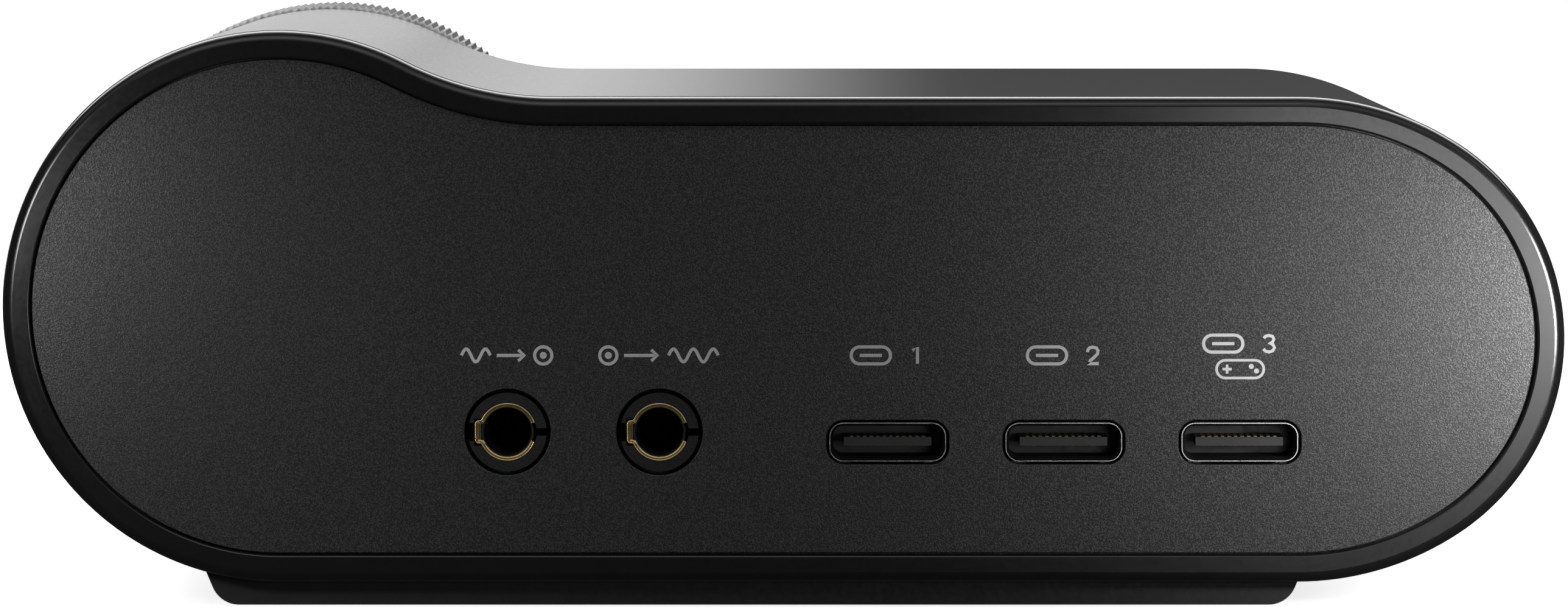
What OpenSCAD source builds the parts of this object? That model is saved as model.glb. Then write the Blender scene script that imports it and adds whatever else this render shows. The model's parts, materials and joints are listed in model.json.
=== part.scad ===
// Desktop audio interface: two jacks and three USB-C sockets on the back, a dial and a display in front.
// +X to the right as seen from the front, +Y to the back, +Z up.
// The origin is under the middle of the case, on the table.

/* [Case] */
// Width over all, from the round left end to the dial's ridges
case_w = 119.7; // [118:0.1:122]
// Depth of the sleeve, from its back rim to its front edge
case_d = 80; // [76:1:86]
// Height of the flat top above the table
top_z = 39.1; // [38.6:0.1:40]
// Radius of the round end behind the dial
bump_r = 21.1; // [20.8:0.1:21.3]
// Radius of the hollow curve from the round end down to the flat top
sweep_r = 25; // [22:1:28]
// Radius of the left end at mid height
tip_r = 17.8; // [17.2:0.1:18.2]
// Radius of the left end's shoulders
shoulder_r = 22.5; // [21:0.5:24]
// Wall of the sleeve, which shows as the rim
wall = 2.1; // [1.9:0.1:2.3]
// Gap between the sleeve and the panels inside it
edge_gap = 0.12; // [0.08:0.01:0.2]
// Thickness of the rear panel and of the front fascia
panel_t = 2; // [1.8:0.1:2.2]
// How deep the panels lie inside the sleeve's ends
panel_recess = 0.7; // [0.4:0.1:0.8]
// Height of the foot pad below the sleeve
foot_h = 1.95; // [1.7:0.05:2.2]

/* [Dial] */
// Radius over the dial's ridges
dial_r = 21.47; // [21.3:0.01:21.6]
// Depth of a ridge
ridge_depth = 0.24; // [0.15:0.01:0.3]
// Number of ridges round the dial
ridge_count = 210; // [120:10:240]
// How far the dial's face stands in front of the sleeve
dial_reach = 14; // [13:0.5:15]
// Gap between the sleeve's front edge and the dial
dial_gap = 0.9; // [0.8:0.1:1.1]
// How far the dial travels when it is pressed
dial_press = 0.5; // [0.3:0.1:0.5]

/* [Sockets] */
// Distance between the two jacks
jack_pitch = 11.62; // [11:0.01:12.5]
// Place of the first jack, from the middle of the case
jack_x = 20.93; // [20:0.01:21.5]
// Height of the jacks above the table
jack_z = 13.43; // [13.2:0.01:13.6]
// Radius of a jack's bore for a 3.5 mm plug
jack_bore_r = 1.8; // [1.77:0.01:1.85]
// Distance between the USB-C sockets
usb_pitch = 13.46; // [12:0.01:14]
// Place of the first USB-C socket, from the middle of the case
usb_x = -8.15; // [-9:0.01:-7.5]
// Height of the USB-C sockets above the table
usb_z = 12.65; // [12.5:0.01:12.8]

/* [Front] */
// Width of the display's lens
lens_w = 58; // [50:1:59]
// Height of the display's lens
lens_h = 22; // [18:1:23]
// Middle of the lens, from the middle of the case
lens_x = -22; // [-23:0.5:-21.5]
// Diameter of the menu button
button_d = 5.6; // [5:0.1:5.8]
// Place of the menu button, from the middle of the case
button_x = 13.2; // [13:0.1:14]
// Height of the menu button above the table
button_z = 10.8; // [10.5:0.1:11.5]
// How far the menu button travels when it is pressed
button_press = 0.4; // [0.2:0.1:0.4]

/* [Hidden] */

$fn = 96;
cut = 1;

// Ends of the case
back_y = (case_d + dial_reach) / 2;
front_y = back_y - case_d;
dial_front_y = front_y - dial_reach;

// Middles of the outline's arcs
dial_x = case_w / 2 - dial_r;
dial_z = foot_h + bump_r;
mid_z = (foot_h + top_z) / 2;
half_h = (top_z - foot_h) / 2;
left_x = -case_w / 2;
tip_x = left_x + tip_r;
shoulder_x = tip_x + sqrt((shoulder_r - tip_r) ^ 2 - (shoulder_r - half_h) ^ 2);
sweep_z = top_z + sweep_r;
sweep_x = dial_x - sqrt((bump_r + sweep_r) ^ 2 - (sweep_z - dial_z) ^ 2);
sweep_angle = atan2(sweep_z - dial_z, sweep_x - dial_x);
tip_angle = atan2(shoulder_r - half_h, tip_x - shoulder_x);
arc_step = 3;

// Panels
panel_inset = wall + edge_gap;
skirt_t = 1.2;
skirt_d = 4;
rear_face_y = back_y - panel_recess;
rear_inner_y = rear_face_y - panel_t;
fascia_face_y = front_y + panel_recess;
fascia_inner_y = fascia_face_y + panel_t;

// Foot pad
foot_setback = 2.9;
foot_left = -38.87;
foot_right = 43.07;
foot_tilt = 22.8;
foot_corner_r = 2.2;

// Boards
board_t = 1.6;
board_top_z = jack_z - 3.03;
board_z = board_top_z - board_t;
board_x0 = -48;
board_x1 = 46.5;
board_y0 = front_y + 12.7;
board_y1 = rear_inner_y - 0.2;
control_y = fascia_inner_y + 6.5;
control_inset = 4;
control_x0 = 9.5;

// Chassis frame
frame_z0 = foot_h + wall + 0.2;
frame_t = 1.5;
frame_z1 = frame_z0 + frame_t;
frame_y0 = control_y + board_t + 1.5;
frame_y1 = rear_inner_y - skirt_d - 0.2;
standoffs = [for (x = [-33, 33], y = [-15, 27]) [x, y]];
case_screw_places = [for (x = [-22, 22], y = [-17, 34]) [x, y]];
screw_r = 1.3;
screw_clear_r = 1.6;
screw_head_r = 2.7;
screw_head_h = 1.2;

// Screws that hold the control board
control_screws = [[12.5, 30], [dial_x + 9.6, dial_z - 11], [dial_x + 9.6, dial_z + 11]];
small_screw_r = 1;
small_clear_r = 1.1;
small_head_r = 2;
small_head_h = 1.3;

// Display
lens_corner_r = 3;
lens_t = 1.2;
lens_ledge = 1.4;
lens_window = [lens_w - 2 * lens_ledge, lens_h - 2 * lens_ledge];
gasket_t = panel_t - lens_t;
glass_t = 2;
holder_t = 1;
flex_w = 14;
flex_t = 0.25;
flex_z = mid_z - 5;
ribbon_w = 8;
ribbon_x = 22;
ribbon_z = 17.4;

// Encoder
bush_r = 3.5;
bush_reach = 3;
bush_front_y = fascia_face_y - bush_reach;
shaft_r = 3;
shaft_clear = 0.05;
washer_t = 0.4;
nut_t = 1.8;
nut_across = 10;
shaft_front_y = dial_front_y + 3.1;
shaft_back_y = fascia_inner_y + 4.7;
shaft_flat = 1.5;
flat_end_y = fascia_face_y - 4.2;
plunger_back_y = shaft_back_y + 1;

// Dial
ring_bore_r = 19.4;
ring_lip_r = 18.6;
ring_back_y = front_y - dial_gap;
ring_bevel = 0.7;
ring_front_bevel = 0.8;
ring_lip_t = 1.6;
face_t = 1.2;
hub_cavity_r = 17.6;
hub_boss_r = 5.5;
hub_rib_t = 1.2;
hub_ribs = 6;
hub_back_y = ring_back_y - 0.7;
hub_front_y = dial_front_y + ring_lip_t;
hub_floor_y = hub_front_y + 2;

// Menu button
button_clear = 0.08;
button_proud = 0.8;
button_hole_r = button_d / 2 + button_clear;
button_flange_r = button_d / 2 + 0.8;
button_stem_r = 1.3;
switch_w = 6;
switch_t = 3.4;
switch_tip_t = 0.8;
switch_tip_r = 1.6;
switch_y = control_y - switch_t;
switch_tip_y = switch_y - switch_tip_t;

// Jacks
jack_hole_r = 3.3;
jack_boss_r = 3.01;
jack_body_w = 6.4;
jack_body_d = 11.8;
jack_body_h = 6.06;
sleeve_outer_r = 2.235;
sleeve_t = 0.23;
sleeve_d = 4;
sleeve_gap = 1.43;
sleeve_step_w = 1.89;
sleeve_step_r = 2.52;
jack_wide_slot = 1.4;
jack_thin_slot = 0.585;
jack_notch_w = 2.1;
spring_w = 1.1;
spring_t = 0.2;
spring_gap = 0.05;

// USB-C sockets
usb_hole = [9.38, 3.39];
usb_hole_r = 1.35;
usb_outer = [9, 3.05];
usb_outer_r = 1.1;
usb_opening = [8.34, 2.56];
usb_opening_r = 0.86;
usb_d = 7.4;
usb_lip = 0.15;
usb_block_t = 1.6;
tongue_w = 6.69;
tongue_t = 0.66;
tongue_setback = 0.9;
contact_count = 12;
contact_pitch = 0.5;
contact_w = 0.25;
contact_t = 0.05;
contact_d = 3.6;

// A flat shape in X and Z, given depth from y0 to y1
module along_y(y0, y1) {
    translate([0, y1, 0])
        rotate([90, 0, 0])
            linear_extrude(y1 - y0)
                children();
}

// A round bar along Y
module bar_y(x, z, y0, y1, r) {
    translate([x, y1, z])
        rotate([90, 0, 0])
            cylinder(h = y1 - y0, r = r);
}

// A cone along Y, from radius r0 at y0 to r1 at y1
module cone_y(x, z, y0, y1, r0, r1) {
    translate([x, y1, z])
        rotate([90, 0, 0])
            cylinder(h = y1 - y0, r1 = r1, r2 = r0);
}

// A box between two corners
module box(low, high) {
    translate(low)
        cube(high - low);
}

module rounded_rect(size, r) {
    square([size[0] - 2 * r, size[1]], center = true);
    square([size[0], size[1] - 2 * r], center = true);
    for (sx = [-1, 1], sz = [-1, 1])
        translate([sx * (size[0] / 2 - r), sz * (size[1] / 2 - r)])
            circle(r = r);
}

// Points along an arc, from angle a0 to angle a1
function arc(x, z, r, a0, a1) =
    let (n = ceil(abs(a1 - a0) / arc_step))
    [for (i = [0:n]) let (a = a0 + (a1 - a0) * i / n) [x + r * cos(a), z + r * sin(a)]];

// The case's outline, drawn in by the given inset: the round end, the sweep and the left end's three arcs
module outline(inset) {
    polygon(concat(
        arc(dial_x, dial_z, bump_r - inset, -90, sweep_angle),
        arc(sweep_x, sweep_z, sweep_r + inset, sweep_angle - 180, -90),
        arc(shoulder_x, top_z - shoulder_r, shoulder_r - inset, 90, tip_angle),
        arc(tip_x, mid_z, tip_r - inset, tip_angle, 360 - tip_angle),
        arc(shoulder_x, foot_h + shoulder_r, shoulder_r - inset, 360 - tip_angle, 270)
    ));
}

// A panel that fills the sleeve's end, with a skirt that runs into the sleeve
module end_panel(plate_y0, plate_y1, skirt_y0, skirt_y1) {
    along_y(plate_y0, plate_y1)
        outline(panel_inset);
    along_y(skirt_y0, skirt_y1)
        difference() {
            outline(panel_inset);
            outline(panel_inset + skirt_t);
        }
}

module outer_sleeve() {
    color("#4a4a4c")
        difference() {
            along_y(front_y, back_y)
                difference() {
                    outline(0);
                    outline(wall);
                }
            for (p = case_screw_places) {
                translate([p[0], p[1], foot_h - cut])
                    cylinder(h = wall + 2 * cut, r = screw_clear_r);
                translate([p[0], p[1], foot_h - cut])
                    cylinder(h = cut + screw_head_h, r = screw_head_r + 0.2);
            }
        }
}

module rear_panel() {
    color("#2c2c2e")
        difference() {
            end_panel(rear_inner_y, rear_face_y, rear_inner_y - skirt_d, rear_inner_y);
            for (i = [0:1])
                bar_y(
                    jack_x - i * jack_pitch, jack_z, rear_inner_y - cut,
                    rear_face_y + cut, jack_hole_r
                );
            for (i = [0:2])
                along_y(rear_inner_y - cut, rear_face_y + cut)
                    translate([usb_x - i * usb_pitch, usb_z])
                        rounded_rect(usb_hole, usb_hole_r);
        }
}

module front_fascia() {
    color("#1d1d1f")
        difference() {
            union() {
                end_panel(fascia_face_y, fascia_inner_y, fascia_inner_y, fascia_inner_y + skirt_d);
                for (p = control_screws)
                    bar_y(p[0], p[1], fascia_inner_y, control_y, 2.4);
            }
            along_y(fascia_face_y - cut, fascia_face_y + lens_t)
                translate([lens_x, mid_z])
                    rounded_rect([lens_w + 0.2, lens_h + 0.2], lens_corner_r + 0.1);
            along_y(fascia_face_y, fascia_inner_y + cut)
                translate([lens_x, mid_z])
                    rounded_rect(lens_window, lens_corner_r);
            bar_y(dial_x, dial_z, fascia_face_y - cut, fascia_inner_y + cut, bush_r + 0.1);
            bar_y(button_x, button_z, fascia_face_y - cut, fascia_inner_y + cut, button_hole_r);
            for (p = control_screws)
                bar_y(p[0], p[1], fascia_inner_y, control_y + cut, small_screw_r);
        }
}

module foot_pad() {
    flat_in = foot_corner_r * tan((90 - foot_tilt) / 2);
    top = foot_h + 1;
    color("#0c0c0c")
        along_y(front_y + foot_setback, back_y - foot_setback)
            difference() {
                polygon(concat(
                    arc(foot_left + flat_in, foot_corner_r, foot_corner_r, 180 + foot_tilt, 270),
                    arc(foot_right - flat_in, foot_corner_r, foot_corner_r, 270, 360 - foot_tilt),
                    [[foot_right + top * tan(foot_tilt), top], [foot_left - top * tan(foot_tilt), top]]
                ));
                outline(0);
            }
}

module chassis_frame() {
    color("#3a3a3a")
        difference() {
            union() {
                box([-38, frame_y0, frame_z0], [38, frame_y1, frame_z1]);
                for (p = case_screw_places)
                    translate([p[0], p[1], frame_z1])
                        cylinder(h = board_z - frame_z1 - 0.3, r = 2.8);
                for (x = [-38, 36.4])
                    box([x, frame_y0, frame_z1], [x + 1.6, frame_y1, frame_z1 + 2]);
            }
            for (p = case_screw_places)
                translate([p[0], p[1], frame_z0 - cut])
                    cylinder(h = board_z - frame_z0 + cut, r = screw_r);
            for (p = standoffs)
                translate([p[0], p[1], frame_z0 - cut])
                    cylinder(h = frame_t + 2 * cut, r = screw_r);
        }
}

module ballast_plate() {
    color("#8a8c8e")
        difference() {
            box([-29, -14, frame_z1], [29, 30, frame_z1 + 2]);
            for (x = [-22, 22])
                translate([x, 34, frame_z1 - cut])
                    cylinder(h = 4, r = 4.6);
        }
}

module case_screws() {
    color("#707274")
        for (p = case_screw_places)
            translate([p[0], p[1], foot_h])
                difference() {
                    union() {
                        cylinder(h = screw_head_h, r = screw_head_r);
                        cylinder(h = 6, r = screw_r);
                    }
                    translate([0, 0, -cut])
                        cylinder(h = cut + 0.8, r = 1.2, $fn = 6);
                }
}

module display_lens() {
    color("#101012")
        along_y(fascia_face_y, fascia_face_y + lens_t)
            translate([lens_x, mid_z])
                rounded_rect([lens_w, lens_h], lens_corner_r);
}

module lens_gasket() {
    color("#2a2a2a")
        along_y(fascia_inner_y - gasket_t, fascia_inner_y)
            translate([lens_x, mid_z])
                difference() {
                    rounded_rect(lens_window - [0.2, 0.2], lens_corner_r);
                    square([lens_w - 8, lens_h - 7], center = true);
                }
}

module display_glass() {
    color("#1a2030")
        along_y(fascia_inner_y, fascia_inner_y + glass_t)
            translate([lens_x, mid_z])
                square([lens_w - 4, lens_h - 4], center = true);
}

module display_holder() {
    glass = [lens_w - 4, lens_h - 4];
    color("#444446")
        difference() {
            along_y(fascia_inner_y, fascia_inner_y + glass_t + holder_t)
                translate([lens_x, mid_z])
                    square(glass + [2.4, 2.4], center = true);
            along_y(fascia_inner_y - cut, fascia_inner_y + glass_t)
                translate([lens_x, mid_z])
                    square(glass + [0.1, 0.1], center = true);
            along_y(fascia_inner_y, fascia_inner_y + glass_t + holder_t + cut)
                translate([lens_x, mid_z])
                    square(glass - [8, 3], center = true);
        }
}

// A ribbon of width w about x: back from y0 at height z, round a bend, and down to its socket at y1
module ribbon(x, w, y0, y1, z, bend) {
    low_z = board_top_z + 1.4;
    translate([x + w / 2, 0, 0])
        rotate([0, -90, 0])
            linear_extrude(w) {
                translate([z, y0])
                    square([flex_t, y1 - bend - y0]);
                translate([z - bend, y1 - bend])
                    intersection() {
                        difference() {
                            circle(r = bend + flex_t);
                            circle(r = bend);
                        }
                        square(bend + flex_t);
                    }
                translate([low_z, y1])
                    square([z - bend - low_z, flex_t]);
            }
}

module display_flex() {
    color("#8c5a1e")
        ribbon(lens_x, flex_w, fascia_inner_y + glass_t, board_y0 + 3, flex_z, 1.5);
}

module menu_button() {
    flange_back_y = fascia_inner_y + 0.8;
    color("#6c6c70") {
        bar_y(button_x, button_z, fascia_face_y - button_proud, fascia_inner_y, button_d / 2);
        bar_y(button_x, button_z, fascia_inner_y, flange_back_y, button_flange_r);
        bar_y(button_x, button_z, flange_back_y, switch_tip_y, button_stem_r);
    }
}

module button_plunger() {
    color("#b8862c")
        bar_y(button_x, button_z, switch_tip_y, switch_y + 0.3, switch_tip_r);
}

module button_switch() {
    color("#202020")
        difference() {
            along_y(switch_y, control_y)
                translate([button_x, button_z])
                    square(switch_w, center = true);
            bar_y(
                button_x, button_z, switch_y - cut,
                switch_y + 0.5 + button_press, switch_tip_r + button_clear
            );
        }
}

module control_board() {
    color("#1f4a2c")
        difference() {
            along_y(control_y, control_y + board_t)
                difference() {
                    outline(control_inset);
                    translate([left_x, 0])
                        square([control_x0 - left_x, 2 * top_z]);
                }
            for (p = control_screws)
                bar_y(p[0], p[1], control_y - cut, control_y + board_t + cut, small_clear_r);
        }
}

module control_board_screws() {
    head_y = control_y + board_t;
    color("#9a9c9e")
        for (p = control_screws)
            difference() {
                union() {
                    bar_y(p[0], p[1], control_y - 4.4, head_y + 0.2, small_screw_r);
                    bar_y(p[0], p[1], head_y, head_y + small_head_h, small_head_r);
                }
                along_y(head_y + 0.5, head_y + small_head_h + cut)
                    translate([p[0], p[1]]) {
                        square([2.4, 0.6], center = true);
                        square([0.6, 2.4], center = true);
                    }
            }
}

module encoder_body() {
    color("#7c7e80")
        difference() {
            along_y(fascia_inner_y, control_y)
                translate([dial_x, dial_z])
                    square([12.4, 13.2], center = true);
            bar_y(dial_x, dial_z, fascia_inner_y - cut, control_y + cut, shaft_r + shaft_clear);
        }
}

module encoder_bush() {
    color("#a8aaac")
        difference() {
            bar_y(dial_x, dial_z, bush_front_y, fascia_inner_y, bush_r);
            bar_y(dial_x, dial_z, bush_front_y - cut, fascia_inner_y + cut, shaft_r + shaft_clear);
        }
}

module encoder_washer() {
    color("#b4b6b8")
        difference() {
            bar_y(dial_x, dial_z, fascia_face_y - washer_t, fascia_face_y, 5.9);
            bar_y(dial_x, dial_z, fascia_face_y - washer_t - cut, fascia_face_y + cut, bush_r + 0.05);
        }
}

module encoder_nut() {
    back = fascia_face_y - washer_t;
    color("#b4b6b8")
        difference() {
            along_y(back - nut_t, back)
                translate([dial_x, dial_z])
                    circle(r = nut_across / 2 / cos(30), $fn = 6);
            bar_y(dial_x, dial_z, back - nut_t - cut, back + cut, bush_r);
        }
}

// The shaft, with a flat towards the top on its front stretch
module encoder_shaft() {
    color("#bcbec0")
        difference() {
            bar_y(dial_x, dial_z, shaft_front_y, shaft_back_y, shaft_r);
            box(
                [dial_x - 2 * shaft_r, shaft_front_y - cut, dial_z + shaft_flat],
                [dial_x + 2 * shaft_r, flat_end_y, dial_z + 2 * shaft_r]
            );
        }
}

module press_plunger() {
    color("#d8d8d0")
        bar_y(dial_x, dial_z, shaft_back_y, plunger_back_y, 2.4);
}

module press_disc() {
    color("#c8b070")
        bar_y(dial_x, dial_z, plunger_back_y + dial_press + 0.04, control_y, 2.8);
}

module dial_hub() {
    color("#2a2a2c")
        difference() {
            union() {
                difference() {
                    bar_y(dial_x, dial_z, hub_front_y, hub_back_y, ring_bore_r);
                    bar_y(dial_x, dial_z, hub_floor_y, hub_back_y + cut, hub_cavity_r);
                }
                bar_y(dial_x, dial_z, hub_floor_y, bush_front_y - 1, hub_boss_r);
                for (i = [0:hub_ribs - 1])
                    translate([dial_x, 0, dial_z])
                        rotate([0, i * 360 / hub_ribs, 0])
                            box(
                                [hub_boss_r - 0.5, hub_floor_y - 0.5, -hub_rib_t / 2],
                                [hub_cavity_r + 0.3, hub_floor_y + 2.6, hub_rib_t / 2]
                            );
            }
            difference() {
                bar_y(dial_x, dial_z, shaft_front_y - 0.1, bush_front_y, shaft_r);
                box(
                    [dial_x - 2 * shaft_r, shaft_front_y - cut, dial_z + shaft_flat],
                    [dial_x + 2 * shaft_r, flat_end_y, dial_z + 2 * shaft_r]
                );
            }
        }
}

// A round outline with V-shaped ridges
function ridge_points(n, crest, root) =
    [for (i = [0:2 * n - 1])
        let (r = i % 2 == 0 ? crest : root, a = 180 * i / n)
        [r * cos(a), r * sin(a)]];

module dial_ring() {
    root_r = dial_r - ridge_depth;
    band_r = root_r - 0.05;
    knurl_y0 = dial_front_y + ring_front_bevel;
    knurl_y1 = ring_back_y - ring_bevel;
    color("#9c9da0")
        difference() {
            union() {
                along_y(knurl_y0, knurl_y1)
                    translate([dial_x, dial_z])
                        polygon(ridge_points(ridge_count, dial_r, root_r));
                cone_y(dial_x, dial_z, knurl_y1, ring_back_y, band_r, band_r - ring_bevel);
                cone_y(dial_x, dial_z, dial_front_y, knurl_y0, band_r - ring_front_bevel, band_r);
            }
            bar_y(dial_x, dial_z, dial_front_y + ring_lip_t, ring_back_y + cut, ring_bore_r);
            bar_y(dial_x, dial_z, dial_front_y - cut, ring_back_y, ring_lip_r);
        }
}

module dial_face() {
    color("#2e2e30")
        bar_y(dial_x, dial_z, hub_front_y - face_t, hub_front_y, ring_lip_r);
}

module main_board() {
    color("#1f4a2c")
        difference() {
            box([board_x0, board_y0, board_z], [board_x1, board_y1, board_top_z]);
            for (p = standoffs)
                translate([p[0], p[1], board_z - cut])
                    cylinder(h = board_t + 2 * cut, r = screw_clear_r);
        }
}

module board_standoffs() {
    color("#c8a860")
        for (p = standoffs)
            difference() {
                translate([p[0], p[1], frame_z1])
                    cylinder(h = board_z - frame_z1, r = 2.75, $fn = 6);
                translate([p[0], p[1], frame_z1 - cut])
                    cylinder(h = board_z - frame_z1 + 2 * cut, r = screw_r);
            }
}

module board_screws() {
    color("#9a9c9e")
        for (p = standoffs)
            difference() {
                translate([p[0], p[1], board_top_z]) {
                    cylinder(h = 1.4, r = 2.5);
                    translate([0, 0, -4.5])
                        cylinder(h = 5, r = screw_r);
                }
                translate([p[0], p[1], board_top_z + 1]) {
                    cube([3, 0.7, 1], center = true);
                    cube([0.7, 3, 1], center = true);
                }
            }
}

module chip(x, y, w, d, h) {
    color("#161618")
        difference() {
            box([x - w / 2, y - d / 2, board_top_z], [x + w / 2, y + d / 2, board_top_z + h]);
            translate([x - w / 2 + 1, y - d / 2 + 1, board_top_z + h - 0.1])
                cylinder(h = cut, r = 0.4);
        }
}

module processor_chip() {
    chip(-8, 4, 14, 14, 1.4);
}

module codec_chip() {
    chip(15, 10, 7, 7, 0.9);
}

module usb_hub_chip() {
    chip(-24, 18, 9, 9, 0.9);
}

// A folded steel can, open below, over the analogue stage
module shield_can() {
    t = 0.3;
    low = [8, 0, board_top_z];
    high = [30, 22, board_top_z + 3];
    color("#b0b2b4")
        difference() {
            box(low, high);
            box(low + [t, t, -cut], high - [t, t, t]);
        }
}

module capacitors() {
    color("#4a5a70")
        for (x = [36.5, 43.2], y = [-8, -0.8, 6.4])
            translate([x, y, board_top_z])
                cylinder(h = 7.7, r = 3.15);
}

// Sockets for the two ribbons: display, control board, and main board
module ribbon_sockets() {
    y1 = board_y0 + 3;
    color("#e0ddd0") {
        difference() {
            box([lens_x - 8.5, y1 - 1.4, board_top_z], [lens_x + 8.5, y1 + 1.6, board_top_z + 2.6]);
            box(
                [lens_x - flex_w / 2, y1, board_top_z + 1.4],
                [lens_x + flex_w / 2, y1 + flex_t, board_top_z + 3]
            );
        }
        difference() {
            box([ribbon_x - 5, y1 + 0.6, board_top_z], [ribbon_x + 5, y1 + 3.6, board_top_z + 2.6]);
            box(
                [ribbon_x - ribbon_w / 2, y1 + 2, board_top_z + 1.4],
                [ribbon_x + ribbon_w / 2, y1 + 2 + flex_t, board_top_z + 3]
            );
        }
        difference() {
            box(
                [ribbon_x - 5, control_y + board_t, ribbon_z - 1.4],
                [ribbon_x + 5, control_y + board_t + 2.6, ribbon_z + 1.6]
            );
            box(
                [ribbon_x - ribbon_w / 2, control_y + board_t + 1.4, ribbon_z],
                [ribbon_x + ribbon_w / 2, control_y + board_t + 3, ribbon_z + flex_t]
            );
        }
    }
}

module control_ribbon() {
    color("#e8e8e4")
        ribbon(ribbon_x, ribbon_w, control_y + board_t + 1.4, board_y0 + 5, ribbon_z, 2);
}

// A jack's housing: a slotted round boss in the panel and a block on the board behind it
module jack(x) {
    boss_y0 = rear_inner_y - 0.1;
    body_y0 = boss_y0 - jack_body_d;
    color("#232325")
        difference() {
            union() {
                bar_y(x, jack_z, boss_y0 - 1, rear_face_y, jack_boss_r);
                box(
                    [x - jack_body_w / 2, body_y0, board_top_z],
                    [x + jack_body_w / 2, boss_y0, board_top_z + jack_body_h]
                );
            }
            bar_y(x, jack_z, body_y0 + 0.8, rear_face_y + cut, jack_bore_r);
            bar_y(x, jack_z, rear_face_y - sleeve_d, rear_face_y + cut, sleeve_outer_r);
            box(
                [x, rear_face_y - sleeve_d, jack_z - jack_wide_slot / 2],
                [x + 2 * jack_boss_r, rear_face_y + cut, jack_z + jack_wide_slot / 2]
            );
            box(
                [x, rear_face_y - sleeve_d, jack_z - jack_notch_w / 2],
                [x + sleeve_step_r, rear_face_y + cut, jack_z + jack_notch_w / 2]
            );
            box(
                [x - 2 * jack_boss_r, rear_face_y - sleeve_d, jack_z - jack_thin_slot / 2],
                [x, rear_face_y + cut, jack_z + jack_thin_slot / 2]
            );
            box(
                [x - spring_w / 2 - 0.1, body_y0 + 1.6, jack_z],
                [x + spring_w / 2 + 0.1, body_y0 + 4.2, board_top_z + jack_body_h + cut]
            );
            box(
                [x, body_y0 + 5, jack_z - spring_w / 2 - 0.1],
                [x + jack_body_w, body_y0 + 7.6, jack_z + spring_w / 2 + 0.1]
            );
        }
}

// A jack's gold sleeve: a thin ring, split on the left side and stepped outwards on the right
module jack_sleeve(x) {
    inner_r = sleeve_outer_r - sleeve_t;
    color("#c9a35a")
        along_y(rear_face_y - sleeve_d + 0.05, rear_face_y)
            translate([x, jack_z]) {
                difference() {
                    circle(r = sleeve_outer_r);
                    circle(r = inner_r);
                    translate([-2 * sleeve_outer_r, -sleeve_gap / 2])
                        square([2 * sleeve_outer_r, sleeve_gap]);
                    translate([0, -sleeve_step_w / 2])
                        square([2 * sleeve_outer_r, sleeve_step_w]);
                }
                translate([sleeve_step_r - sleeve_t, -sleeve_step_w / 2])
                    square([sleeve_t, sleeve_step_w]);
                for (s = [-1, 1])
                    translate([inner_r * cos(25), s * (sleeve_step_w / 2 - sleeve_t / 2) - sleeve_t / 2])
                        square([sleeve_step_r - inner_r * cos(25), sleeve_t]);
            }
}

// The jack's two leaf springs, which lie along the bore behind its sleeve
module jack_springs(x) {
    body_y0 = rear_inner_y - 0.1 - jack_body_d;
    r = jack_bore_r + spring_gap;
    color("#c9a35a") {
        box(
            [x - spring_w / 2, body_y0 + 1.7, jack_z + r],
            [x + spring_w / 2, body_y0 + 4.1, jack_z + r + spring_t]
        );
        box(
            [x + r, body_y0 + 5.1, jack_z - spring_w / 2],
            [x + r + spring_t, body_y0 + 7.5, jack_z + spring_w / 2]
        );
    }
}

module usb_shell(i) {
    x = usb_x - i * usb_pitch;
    mouth_y = rear_face_y - usb_lip;
    low_z = usb_z - usb_outer[1] / 2;
    color("#b8babc") {
        difference() {
            along_y(mouth_y - usb_d, mouth_y)
                translate([x, usb_z])
                    rounded_rect(usb_outer, usb_outer_r);
            along_y(mouth_y - usb_d + 0.25, mouth_y + cut)
                translate([x, usb_z])
                    rounded_rect(usb_opening, usb_opening_r);
        }
        for (sx = [-1, 1], y = [mouth_y - usb_d + 0.5, mouth_y - 4.4])
            box([x + sx * 3.3 - 0.5, y, board_top_z], [x + sx * 3.3 + 0.5, y + 1.2, low_z + 0.1]);
    }
}

module usb_tongue(i) {
    x = usb_x - i * usb_pitch;
    mouth_y = rear_face_y - usb_lip;
    back_y0 = mouth_y - usb_d + 0.25;
    color("#3c3c3e") {
        along_y(back_y0, back_y0 + usb_block_t)
            translate([x, usb_z])
                rounded_rect(usb_opening - [0.02, 0.02], usb_opening_r);
        box(
            [x - tongue_w / 2, back_y0, usb_z - tongue_t / 2],
            [x + tongue_w / 2, mouth_y - tongue_setback, usb_z + tongue_t / 2]
        );
    }
}

module usb_contacts(i) {
    x = usb_x - i * usb_pitch;
    front = rear_face_y - usb_lip - tongue_setback - 0.5;
    color("#d0a850")
        for (k = [0:contact_count - 1], side = [-1, 1])
            translate([
                x + (k - (contact_count - 1) / 2) * contact_pitch,
                front - contact_d / 2,
                usb_z + side * (tongue_t + contact_t) / 2
            ])
                cube([contact_w, contact_d, contact_t], center = true);
}

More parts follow.
